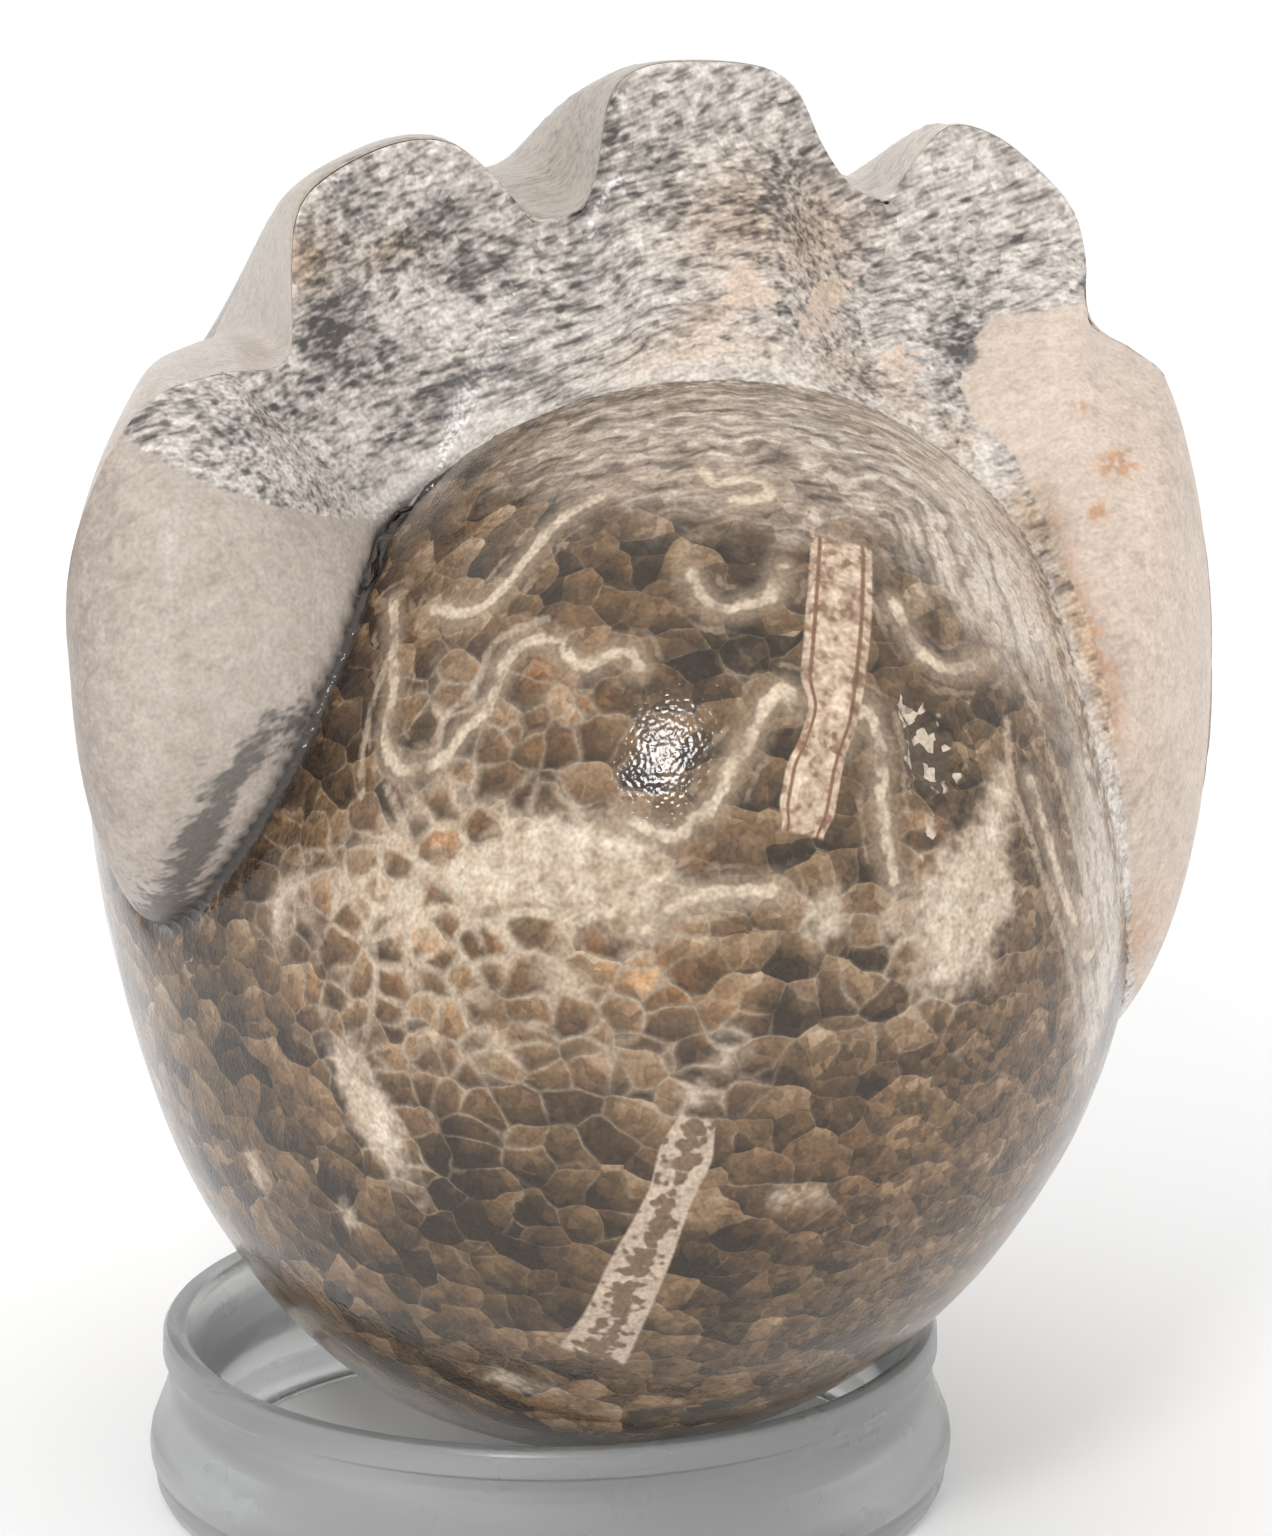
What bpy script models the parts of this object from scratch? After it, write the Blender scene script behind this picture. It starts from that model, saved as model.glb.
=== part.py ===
"""Ammonite fossil of the Vascoceras kind, sitting in a clear plastic ring stand.

Metres, +Z up. The fossil's broken end looks towards -Y: there the last chamber wall shows its
lobed face above the rounded outer whorl. The origin is on the surface that the ring stands on,
below the middle of the object's bounding box.
"""
import math

import bmesh
import bpy
import numpy as np
from mathutils import Matrix

MM = 0.001

# Coil, in millimetres and degrees. The growth angle turns about the coil axis: 0 is straight up,
# 90 the front, 180 the underside, 270 the back. The across angle runs over the whorl, from -90 at
# the left umbilicus through 0 on the keel to 90 at the right umbilicus.
GROWTH_STEPS = (-20, 50, 120, 190, 260, 330, 400)
KEEL_RADIUS = (33.4, 42.0, 48.7, 53.7, 57.2, 59.5, 60.5)
LEFT_HALF_WIDTH = (30.0, 33.0, 36.9, 41.8, 47.6, 50.3, 49.5)
RIGHT_HALF_WIDTH = (32.7, 36.2, 39.5, 42.3, 43.3, 42.9, 42.4)
LEFT_PLUG_HALF_WIDTH = 45.1
RIGHT_PLUG_HALF_WIDTH = 39.4
PLUG_STARTS = 58

# Rim of the last chamber wall: where it lies along the growth, and how far out it stands as a
# share of the whorl's full size. The valleys between its lobes run back as channels.
RIM_GROWTH = ((0, -12), (38, -7), (56, 3), (66, 16), (72, 30), (78, 52), (84, 82), (90, 105))
RIM_HEIGHT = (
    (-90, 1.000), (-83, 1.090), (-76, 1.145), (-69, 1.100), (-63.5, 0.990), (-59, 0.900),
    (-56.5, 0.945), (-50.5, 1.050), (-44, 1.030), (-38, 0.985), (-34, 0.890), (-31.5, 0.820),
    (-26.5, 0.812), (-24.5, 0.840), (-21.7, 0.970), (-18, 0.990), (-7.6, 0.987), (-4, 0.970),
    (0, 0.900), (6, 0.853), (9.5, 0.857), (10.7, 0.920), (12.8, 0.997), (20, 1.022),
    (27.5, 1.023), (31, 1.000), (36.3, 0.943), (41, 0.980), (45, 1.010), (53, 1.000),
    (64, 0.990), (80, 1.014), (90, 1.000),
)
CHANNEL_LENGTH = (
    (-90, 110), (-70, 90), (-60, 75), (-50, 60), (-40, 42), (-28, 42), (-15, 34), (8, 36),
    (30, 30), (45, 36), (90, 55),
)
CHANNEL_FADE = 1.5

# Seam where the wall's face comes down on the rounded whorl in front of it.
SEAM_GROWTH = (
    (-90, 180), (-80, 172), (-72, 165), (-68, 150), (-66.5, 115), (-65, 85), (-63.5, 50),
    (-62, 20), (-58, 10), (-50, 8), (-34, 12), (-20, 14), (-7, 14), (7, 12), (19, 14), (31, 22),
    (36, 38), (43, 53), (54, 66), (65, 84), (75, 120), (84, 150), (90, 165),
)
FILLET_HEIGHT = 13.0
HORN_REACH = (18, 34)  # degrees from rim to seam where the lobed wall turns into a horn
FACE_REACH = 26
UPRIGHT_SHARE = 5 / 14  # of the face's rows, those that go straight down behind the rim
HALF_TURN = 200  # growth by which every seam has ended and no channel has begun

# How the fossil leans: over to its left side, and turned about the upright.
LEAN = 16.4
TURN = 10.1
FOSSIL_AT = (1.25, -5.60, 57.70)

# Ring stand, in millimetres: radius and height of each corner, down the outside and up the bore.
RING_AT = (-7.55, -2.90, 0.0)
RING_PROFILE = (
    (30.5, 13.8), (31.4, 13.6), (31.7, 13.1), (31.7, 11.5), (31.3, 11.1), (31.2, 9.6),
    (31.8, 7.6), (32.6, 5.6), (32.9, 4.0), (32.7, 2.4), (32.2, 0.9), (31.4, 0.0),
    (28.4, 0.0), (28.2, 0.6), (28.2, 9.0), (29.6, 13.5),
)
RING_SIDES = 56

# Mesh resolution of the fossil, and how its rows and columns are spread.
BODY_ROWS = 66
FACE_ROWS = 14
COLUMNS = 51
ROWS_CLOSER_AT_REAR = 0.45
COLUMNS_CLOSER_AT_KEEL = 0.15
FRONT_SETTLES_BY = 0.6  # share of the turn over which the rows lose the shape of the seam
RIM_SHOWS_FROM = 0.6  # share of the turn from which they take on the shape of the rim
SHARP_ANGLE = 40


def smooth_through(points, at):
    """Read a smooth curve through (x, y) points, without overshooting them."""
    x, y = np.array(points, float).T
    step = np.diff(x)
    slope = np.diff(y) / step
    same_sign = slope[:-1] * slope[1:] > 0
    ratio = 0.5 * (1 / np.where(slope[:-1] == 0, 1, slope[:-1])
                   + 1 / np.where(slope[1:] == 0, 1, slope[1:]))
    inner = np.where(same_sign, 1 / np.where(ratio == 0, 1, ratio), 0)
    tangent = np.concatenate([slope[:1], inner, slope[-1:]])
    at = np.clip(np.asarray(at, float), x[0], x[-1])
    i = np.clip(np.searchsorted(x, at, side="right") - 1, 0, len(step) - 1)
    t = (at - x[i]) / step[i]
    return (y[i] * (1 + 2 * t) * (1 - t) ** 2 + tangent[i] * step[i] * t * (1 - t) ** 2
            + y[i + 1] * t * t * (3 - 2 * t) + tangent[i + 1] * step[i] * t * t * (t - 1))


def ease(x, low, high):
    """Rise smoothly from 0 at low to 1 at high."""
    t = np.clip((x - low) / (high - low), 0, 1)
    return t * t * (3 - 2 * t)


def along_growth(values, growth):
    """Read a size of the coil that is given at the growth steps."""
    return smooth_through(tuple(zip(GROWTH_STEPS, values)), growth)


def whorl(growth, across):
    """Sideways and outward distance of the whole whorl's surface, in millimetres."""
    left = across < 0
    half_width = np.where(left, along_growth(LEFT_HALF_WIDTH, growth),
                          along_growth(RIGHT_HALF_WIDTH, growth))
    plug = np.where(left, LEFT_PLUG_HALF_WIDTH, RIGHT_PLUG_HALF_WIDTH)
    filled = ease(np.abs(across), PLUG_STARTS, 90)
    angle = np.radians(across)
    side = (half_width + (plug - half_width) * filled) * np.sin(angle)
    return side, along_growth(KEEL_RADIUS, growth) * np.cos(angle)


def rim_growth(across):
    """Growth angle of the rim of the last chamber wall."""
    return smooth_through(RIM_GROWTH, np.abs(across))


def seam_growth(across):
    """Growth angle at which the wall's face ends on the whorl in front of it."""
    return smooth_through(SEAM_GROWTH, across)


def outer_surface(growth, across):
    """Outside of the whorl behind the rim, with the channels that run back from its valleys."""
    side, out = whorl(growth, across)
    keel = along_growth(KEEL_RADIUS, growth)
    back_from_rim = np.radians(rim_growth(across) + 360 - growth) * keel
    faded = np.clip(back_from_rim / smooth_through(CHANNEL_LENGTH, across), 0, 1)
    size = 1 + (smooth_through(RIM_HEIGHT, across) - 1) * (1 - faded ** CHANNEL_FADE) ** 2
    return side * size, out * size


def fillet_share(across):
    """Share of the drop from rim to seam that the fillet takes; none on the horns."""
    rim_side, rim_out = outer_surface(rim_growth(across) + 360, across)
    seam_side, seam_out = whorl(seam_growth(across), across)
    drop = np.hypot(rim_side - seam_side, rim_out - seam_out)
    return np.minimum(drop, FILLET_HEIGHT) / np.maximum(drop, 1e-6)


def horn_share(across):
    """0 on the lobed wall, 1 on the horns, whose faces slope all the way to the seam."""
    return ease(seam_growth(across) - rim_growth(across), *HORN_REACH)


def face_drop(forward, across):
    """How far down the face has come from rim (0) to seam (1), at a share of the way forward."""
    fillet = fillet_share(across)
    curved = 1 - fillet + fillet * np.sqrt(1 - (1 - forward) ** 2)
    horn = horn_share(across)
    return curved * (1 - horn) + forward * horn


def wall_face(drop, across):
    """Point on the face of the last chamber wall at a share of the drop from rim to seam."""
    rim_side, rim_out = outer_surface(rim_growth(across) + 360, across)
    seam_side, seam_out = whorl(seam_growth(across), across)
    return rim_side + (seam_side - rim_side) * drop, rim_out + (seam_out - rim_out) * drop


def front_surface(growth, across):
    """The face as far as the seam, and the rounded whorl from there on."""
    rim, seam = rim_growth(across), seam_growth(across)
    forward = np.clip((growth - rim) / (seam - rim), 0, 1)
    face = wall_face(face_drop(forward, across), across)
    return [np.where(forward < 1, a, b) for a, b in zip(face, whorl(growth, across))]


def face_rows(share, across):
    """Rows of the face: straight down behind the rim, then curving forward."""
    rim = rim_growth(across)
    reach = np.minimum(seam_growth(across) - rim, FACE_REACH)
    upright = face_drop(0, across) * share / UPRIGHT_SHARE
    curve = np.clip((share - UPRIGHT_SHARE) / (1 - UPRIGHT_SHARE), 0, 1)
    growth = rim + reach * (1 - np.cos(curve * math.pi / 2))
    low = front_surface(growth, across)
    high = wall_face(upright, across)
    side, out = (np.where(share < UPRIGHT_SHARE, a, b) for a, b in zip(high, low))
    return growth, side, out


def body_rows(share, across):
    """Rows round the coil, from the front of the face to the rim one turn later."""
    rim = rim_growth(across)
    start = rim + np.minimum(seam_growth(across) - rim, FACE_REACH)
    first = rim_growth(0) + FACE_REACH
    middle = first + (360 - FACE_REACH) * share
    growth = (middle + (start - first) * (1 - ease(share, 0, FRONT_SETTLES_BY))
              + (rim - rim_growth(0)) * ease(share, RIM_SHOWS_FROM, 1))
    ahead = front_surface(growth, across)
    behind = outer_surface(growth, across)
    side, out = (np.where(growth > HALF_TURN, b, a) for a, b in zip(ahead, behind))
    return growth, side, out


def fossil_points(row, column):
    """Place the grid's points: row counts round the coil, column runs from -1 to 1 across it."""
    across = 90 * (column + COLUMNS_CLOSER_AT_KEEL * (column ** 3 - column))
    share = np.clip(row / BODY_ROWS, 0, 1)
    share = share + ROWS_CLOSER_AT_REAR * share * (1 - share)
    body = body_rows(share, across)
    face = face_rows(np.clip((row - BODY_ROWS) / FACE_ROWS, 0, 1), across)
    growth, side, out = (np.where(row <= BODY_ROWS, a, b) for a, b in zip(body, face))
    turn = np.radians(growth)
    return np.stack([side, -out * np.sin(turn), out * np.cos(turn)], axis=-1) * MM


def principled(name, colour, roughness, alpha=1.0):
    """Make a plain material of one colour."""
    material = bpy.data.materials.new(name)
    material.use_nodes = True
    shader = material.node_tree.nodes["Principled BSDF"]
    shader.inputs["Base Color"].default_value = (*colour, 1.0)
    shader.inputs["Roughness"].default_value = roughness
    shader.inputs["Alpha"].default_value = alpha
    material.diffuse_color = (*colour, alpha)
    return material


def add_object(name, mesh, material, collection):
    """Put a mesh with its material into the collection as an object of its own."""
    mesh.materials.append(material)
    item = bpy.data.objects.new(name, mesh)
    collection.objects.link(item)
    return item


def build_ammonite(collection):
    """Turn a sphere's meridians into growth lines: its poles become the two umbilici."""
    rows = BODY_ROWS + FACE_ROWS
    grid = bmesh.new()
    bmesh.ops.create_uvsphere(grid, u_segments=rows, v_segments=COLUMNS, radius=1.0)
    points = np.array([vertex.co for vertex in grid.verts])
    row = np.round(np.arctan2(points[:, 1], points[:, 0]) / (2 * math.pi) * rows) % rows
    column = np.arcsin(np.clip(points[:, 2], -1, 1)) / (math.pi / 2)
    for vertex, place in zip(grid.verts, fossil_points(row, column)):
        vertex.co = place
    bmesh.ops.recalc_face_normals(grid, faces=grid.faces)
    mesh = bpy.data.meshes.new("ammonite")
    grid.to_mesh(mesh)
    grid.free()
    mesh.shade_smooth()
    mesh.set_sharp_from_angle(angle=math.radians(SHARP_ANGLE))
    stone = principled("stone", (0.42, 0.33, 0.26), 0.35)
    fossil = add_object("ammonite", mesh, stone, collection)
    pose = Matrix.Rotation(math.radians(LEAN), 4, "Y") @ Matrix.Rotation(math.radians(TURN), 4, "Z")
    fossil.matrix_world = Matrix.Translation([value * MM for value in FOSSIL_AT]) @ pose
    return fossil


def build_display_ring(collection):
    """Turn the ring's closed profile about the upright."""
    grid = bmesh.new()
    corners = [grid.verts.new((radius * MM, 0, height * MM)) for radius, height in RING_PROFILE]
    for here, there in zip(corners, corners[1:] + corners[:1]):
        grid.edges.new((here, there))
    mesh = bpy.data.meshes.new("display_ring")
    grid.to_mesh(mesh)
    grid.free()
    plastic = principled("clear_plastic", (0.80, 0.82, 0.84), 0.12, alpha=0.35)
    ring = add_object("display_ring", mesh, plastic, collection)
    ring.location = [value * MM for value in RING_AT]
    screw = ring.modifiers.new("turn", "SCREW")
    screw.steps = RING_SIDES
    screw.render_steps = RING_SIDES
    screw.use_merge_vertices = True
    screw.merge_threshold = 0.00001
    screw.use_smooth_shade = True
    return ring


def main():
    """Clear the scene and build the fossil and its ring."""
    for item in list(bpy.data.objects):
        bpy.data.objects.remove(item)
    collection = bpy.data.collections.new("ammonite_on_ring")
    bpy.context.scene.collection.children.link(collection)
    build_ammonite(collection)
    build_display_ring(collection)


main()
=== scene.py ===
# %% [markdown]
# # A polished ammonite in a clear ring stand
#
# The object is one fossil, a rounded ammonite of the Vascoceras kind, that rests in a low ring of
# clear plastic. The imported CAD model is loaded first. It stays the frame for everything below:
# each finer piece is made where its CAD solid is, and takes that solid's place.

# %% Load the frame
import math

import bmesh
import bpy
import numpy as np
from mathutils import Matrix, Vector, kdtree, noise


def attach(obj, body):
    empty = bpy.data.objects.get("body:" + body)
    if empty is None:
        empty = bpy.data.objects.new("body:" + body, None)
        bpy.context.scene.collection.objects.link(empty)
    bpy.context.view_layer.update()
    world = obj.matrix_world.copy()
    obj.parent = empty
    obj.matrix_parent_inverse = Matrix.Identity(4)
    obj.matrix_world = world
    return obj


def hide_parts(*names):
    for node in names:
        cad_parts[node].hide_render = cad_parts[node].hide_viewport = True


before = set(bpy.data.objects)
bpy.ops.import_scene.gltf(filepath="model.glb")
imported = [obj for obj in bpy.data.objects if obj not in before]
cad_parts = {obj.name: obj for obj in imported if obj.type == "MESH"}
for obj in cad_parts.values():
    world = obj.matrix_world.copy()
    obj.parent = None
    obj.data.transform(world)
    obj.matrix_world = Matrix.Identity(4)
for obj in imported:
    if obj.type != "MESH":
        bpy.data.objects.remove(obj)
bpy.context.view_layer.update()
MM = 0.001

# %% [markdown]
# ## The coil
#
# An ammonite is a tube that grows round an axis. Two angles find any place on it: the growth
# angle turns about the coil's axis (0 up, 90 front, 180 down, 270 back), and the across angle
# runs over the tube from the left umbilicus (-90) over the keel (0) to the right one (90).
# Sizes are given at a few growth angles, with a smooth curve through them. The CAD solid has the
# same driving sizes, so the two shapes agree.

# %% Curves through a few points
def smooth_through(points, at):
    """Read a smooth curve through (x, y) points, without overshooting them."""
    x, y = np.array(points, float).T
    step = np.diff(x)
    slope = np.diff(y) / step
    same_sign = slope[:-1] * slope[1:] > 0
    ratio = 0.5 * (1 / np.where(slope[:-1] == 0, 1, slope[:-1])
                   + 1 / np.where(slope[1:] == 0, 1, slope[1:]))
    inner = np.where(same_sign, 1 / np.where(ratio == 0, 1, ratio), 0)
    tangent = np.concatenate([slope[:1], inner, slope[-1:]])
    at = np.clip(np.asarray(at, float), x[0], x[-1])
    i = np.clip(np.searchsorted(x, at, side="right") - 1, 0, len(step) - 1)
    t = (at - x[i]) / step[i]
    return (y[i] * (1 + 2 * t) * (1 - t) ** 2 + tangent[i] * step[i] * t * (1 - t) ** 2
            + y[i + 1] * t * t * (3 - 2 * t) + tangent[i + 1] * step[i] * t * t * (t - 1))


def ease(x, low, high):
    """Rise smoothly from 0 at low to 1 at high."""
    t = np.clip((x - low) / (high - low), 0, 1)
    return t * t * (3 - 2 * t)


# %% The whorl
GROWTH_STEPS = (-20, 50, 120, 190, 260, 330, 400)
KEEL_RADIUS = (33.4, 42.0, 48.7, 53.7, 57.2, 59.5, 60.5)
LEFT_HALF_WIDTH = (30.0, 33.0, 36.9, 41.8, 47.6, 50.3, 49.5)
RIGHT_HALF_WIDTH = (32.7, 36.2, 39.5, 42.3, 43.3, 42.9, 42.4)
LEFT_PLUG_HALF_WIDTH = 45.1
RIGHT_PLUG_HALF_WIDTH = 39.4
PLUG_STARTS = 58


def along_growth(values, growth):
    """Read a size of the coil that is given at the growth steps."""
    return smooth_through(tuple(zip(GROWTH_STEPS, values)), growth)


def whorl(growth, across):
    """Sideways and outward distance of the whole whorl's surface, in millimetres."""
    left = across < 0
    half_width = np.where(left, along_growth(LEFT_HALF_WIDTH, growth),
                          along_growth(RIGHT_HALF_WIDTH, growth))
    plug = np.where(left, LEFT_PLUG_HALF_WIDTH, RIGHT_PLUG_HALF_WIDTH)
    filled = ease(np.abs(across), PLUG_STARTS, 90)
    angle = np.radians(across)
    side = (half_width + (plug - half_width) * filled) * np.sin(angle)
    return side, along_growth(KEEL_RADIUS, growth) * np.cos(angle)


# %% [markdown]
# ## The last chamber wall
#
# The shell broke off at a wall between two chambers. Its rim is scalloped: rounded lobes stand
# up, and the valleys between them run back over the tube as channels. The wall's face drops from
# the rim and curves forward onto the rounded whorl that the tube grew over, and it ends there in
# a seam. Towards each umbilicus it turns into a horn that reaches far down the side.

# %% Rim, channels and seam
RIM_GROWTH = ((0, -12), (38, -7), (56, 3), (66, 16), (72, 30), (78, 52), (84, 82), (90, 105))
RIM_HEIGHT = (
    (-90, 1.000), (-83, 1.090), (-76, 1.145), (-69, 1.100), (-63.5, 0.990), (-59, 0.900),
    (-56.5, 0.945), (-50.5, 1.050), (-44, 1.030), (-38, 0.985), (-34, 0.890), (-31.5, 0.820),
    (-26.5, 0.812), (-24.5, 0.840), (-21.7, 0.970), (-18, 0.990), (-7.6, 0.987), (-4, 0.970),
    (0, 0.900), (6, 0.853), (9.5, 0.857), (10.7, 0.920), (12.8, 0.997), (20, 1.022),
    (27.5, 1.023), (31, 1.000), (36.3, 0.943), (41, 0.980), (45, 1.010), (53, 1.000),
    (64, 0.990), (80, 1.014), (90, 1.000),
)
CHANNEL_LENGTH = (
    (-90, 110), (-70, 90), (-60, 75), (-50, 60), (-40, 42), (-28, 42), (-15, 34), (8, 36),
    (30, 30), (45, 36), (90, 55),
)
CHANNEL_FADE = 1.5
SEAM_GROWTH = (
    (-90, 180), (-80, 172), (-72, 165), (-68, 150), (-66.5, 115), (-65, 85), (-63.5, 50),
    (-62, 20), (-58, 10), (-50, 8), (-34, 12), (-20, 14), (-7, 14), (7, 12), (19, 14), (31, 22),
    (36, 38), (43, 53), (54, 66), (65, 84), (75, 120), (84, 150), (90, 165),
)
FILLET_HEIGHT = 13.0
HORN_REACH = (18, 34)
FACE_REACH = 26
UPRIGHT_SHARE = 5 / 14
HALF_TURN = 200


def rim_growth(across):
    """Growth angle of the rim of the last chamber wall."""
    return smooth_through(RIM_GROWTH, np.abs(across))


def seam_growth(across):
    """Growth angle at which the wall's face ends on the whorl in front of it."""
    return smooth_through(SEAM_GROWTH, across)


def outer_surface(growth, across):
    """Outside of the whorl behind the rim, with the channels that run back from its valleys."""
    side, out = whorl(growth, across)
    keel = along_growth(KEEL_RADIUS, growth)
    back_from_rim = np.radians(rim_growth(across) + 360 - growth) * keel
    faded = np.clip(back_from_rim / smooth_through(CHANNEL_LENGTH, across), 0, 1)
    size = 1 + (smooth_through(RIM_HEIGHT, across) - 1) * (1 - faded ** CHANNEL_FADE) ** 2
    return side * size, out * size


# %% The wall's face
def face_drop(forward, across):
    """How far down the face has come from rim (0) to seam (1), at a share of the way forward."""
    rim_side, rim_out = outer_surface(rim_growth(across) + 360, across)
    seam_side, seam_out = whorl(seam_growth(across), across)
    drop = np.hypot(rim_side - seam_side, rim_out - seam_out)
    fillet = np.minimum(drop, FILLET_HEIGHT) / np.maximum(drop, 1e-6)
    curved = 1 - fillet + fillet * np.sqrt(1 - (1 - forward) ** 2)
    horn = ease(seam_growth(across) - rim_growth(across), *HORN_REACH)
    return curved * (1 - horn) + forward * horn


def wall_face(drop, across):
    """Point on the face at a share of the drop from rim to seam."""
    rim_side, rim_out = outer_surface(rim_growth(across) + 360, across)
    seam_side, seam_out = whorl(seam_growth(across), across)
    return rim_side + (seam_side - rim_side) * drop, rim_out + (seam_out - rim_out) * drop


def front_surface(growth, across):
    """The face as far as the seam, and the rounded whorl from there on."""
    rim, seam = rim_growth(across), seam_growth(across)
    forward = np.clip((growth - rim) / (seam - rim), 0, 1)
    face = wall_face(face_drop(forward, across), across)
    return [np.where(forward < 1, a, b) for a, b in zip(face, whorl(growth, across))]


# %% [markdown]
# ## A sphere that becomes the fossil
#
# A UV sphere already has the right pattern of faces: its two poles become the umbilici and its
# meridians become growth lines. So the mesh starts as a sphere, and each of its corners is moved
# to the place that the coil's formula gives. Rows are packed more closely at the front, where
# the fine marks are. Along a row the corners are spread evenly by length, so that the steep
# inner sides of the horns get as many as they need.

# %% Rows and columns
BODY_ROWS = 380
FACE_ROWS = 60
COLUMNS = 221
ROW_SPREAD = ((0, 0), (0.6, 0.42), (1, 1))
FRONT_SETTLES_BY = 0.6
RIM_SHOWS_FROM = 0.6
LEAN = 16.4
TURN = 10.1
FOSSIL_AT = (1.25, -5.60, 57.70)
POSE = np.array(Matrix.Translation(FOSSIL_AT) @ Matrix.Rotation(math.radians(LEAN), 4, "Y")
                @ Matrix.Rotation(math.radians(TURN), 4, "Z"))


def face_rows(share, across):
    """Rows of the face: straight down behind the rim, then curving forward."""
    rim = rim_growth(across)
    reach = np.minimum(seam_growth(across) - rim, FACE_REACH)
    upright = face_drop(0, across) * share / UPRIGHT_SHARE
    curve = np.clip((share - UPRIGHT_SHARE) / (1 - UPRIGHT_SHARE), 0, 1)
    growth = rim + reach * (1 - np.cos(curve * math.pi / 2))
    low = front_surface(growth, across)
    high = wall_face(upright, across)
    side, out = (np.where(share < UPRIGHT_SHARE, a, b) for a, b in zip(high, low))
    return growth, side, out


def body_rows(share, across):
    """Rows round the coil, from the front of the face to the rim one turn later."""
    rim = rim_growth(across)
    start = rim + np.minimum(seam_growth(across) - rim, FACE_REACH)
    first = rim_growth(0) + FACE_REACH
    middle = first + (360 - FACE_REACH) * share
    growth = (middle + (start - first) * (1 - ease(share, 0, FRONT_SETTLES_BY))
              + (rim - rim_growth(0)) * ease(share, RIM_SHOWS_FROM, 1))
    ahead = front_surface(growth, across)
    behind = outer_surface(growth, across)
    side, out = (np.where(growth > HALF_TURN, b, a) for a, b in zip(ahead, behind))
    return growth, side, out


def surface(row, across):
    """Growth angle, side and outward distance for rows of the grid at some across angles."""
    share = smooth_through(ROW_SPREAD, np.clip(row / BODY_ROWS, 0, 1))
    body = body_rows(share, across)
    face = face_rows(np.clip((row - BODY_ROWS) / FACE_ROWS, 0, 1), across)
    return [np.where(row <= BODY_ROWS, a, b) for a, b in zip(body, face)]


def place(growth, side, out):
    """Turn a place on the coil into millimetres in the frame's axes."""
    turn = np.radians(growth)
    point = np.stack([side, -out * np.sin(turn), out * np.cos(turn)], axis=-1)
    return point @ POSE[:3, :3].T + POSE[:3, 3]


def even_columns():
    """Across angle of every ring of the sphere on every row, evenly spread by length."""
    fine = np.linspace(-90, 90, 1501)
    row = np.arange(BODY_ROWS + FACE_ROWS)[:, None]
    path = place(*surface(row, np.broadcast_to(fine, (len(row), len(fine)))))
    step = np.linalg.norm(np.diff(path, axis=1), axis=-1) + 0.3 * (fine[1] - fine[0])
    length = np.concatenate([np.zeros((len(row), 1)), np.cumsum(step, axis=1)], axis=1)
    rings = np.arange(COLUMNS + 1) / COLUMNS
    return np.array([np.interp(rings * total[-1], total, fine) for total in length])


# %% Build the grid
ROWS = BODY_ROWS + FACE_ROWS
fossil_grid = bmesh.new()
bmesh.ops.create_uvsphere(fossil_grid, u_segments=ROWS, v_segments=COLUMNS, radius=1.0)
ball = np.array([corner.co for corner in fossil_grid.verts])
row = (np.round(np.arctan2(ball[:, 1], ball[:, 0]) / math.tau * ROWS) % ROWS).astype(int)
ring_number = np.round((np.arcsin(np.clip(ball[:, 2], -1, 1)) / math.pi + 0.5) * COLUMNS)
across = even_columns()[row, ring_number.astype(int)]
on_body = row <= BODY_ROWS
growth, side, out = surface(row, across)
points = place(growth, side, out)
on_face = (growth < seam_growth(across)) | ~on_body
print("Fossil grid:", len(points), "corners and", len(fossil_grid.faces), "faces")

# %% [markdown]
# ## Marks on the stone
#
# The polish cuts through the shell, so the surface shows what lies below it: the folded edges of
# the chamber walls (sutures), the tube that ran along the keel (siphuncle), clouds of cream
# calcite and darker crystal. Each mark is drawn once, as a line or a patch, and every corner of
# the mesh gets its distance to it in millimetres. The material reads these distances, so the
# edges stay crisp and the marks follow the surface.

# %% Corners onto the seam
def smooth_line(line, spacing=0.15):
    """Points close together on a smooth curve through a line's few points."""
    line = np.array(line, float)
    along = np.concatenate([[0], np.cumsum(np.hypot(*np.diff(line, axis=0).T))])
    at = np.arange(0, along[-1], spacing)
    return np.stack([smooth_through(tuple(zip(along, part)), at) for part in line.T], axis=-1)


def nearest(lines):
    """Each corner's distance to the nearest of some lines on the whorl, and the spot there."""
    spots = np.concatenate([smooth_line(line) for line in lines])
    spots = place(spots[:, 0], *whorl(spots[:, 0], spots[:, 1]))
    tree = kdtree.KDTree(len(spots))
    for i, spot in enumerate(spots):
        tree.insert(spot, i)
    tree.balance()
    found = [tree.find(point) for point in points]
    return np.array([hit[2] for hit in found]), spots[[hit[1] for hit in found]]


SNAP_WITHIN = 0.28
seam_line = np.stack([seam_growth(np.arange(-89, 89, 0.4)), np.arange(-89, 89, 0.4)], axis=-1)
seam, seam_spot = nearest([seam_line])
same_spot = np.unique(seam_spot, axis=0, return_inverse=True)[1].ravel()
least = np.full(same_spot.max() + 1, np.inf)
np.minimum.at(least, same_spot, seam)
close = (seam < SNAP_WITHIN) & (seam <= least[same_spot])
points[close] = seam_spot[close]
seam = np.where(close, 0, seam * np.where(on_face, 1, -1))
print("Corners moved onto the seam:", close.sum())


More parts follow.
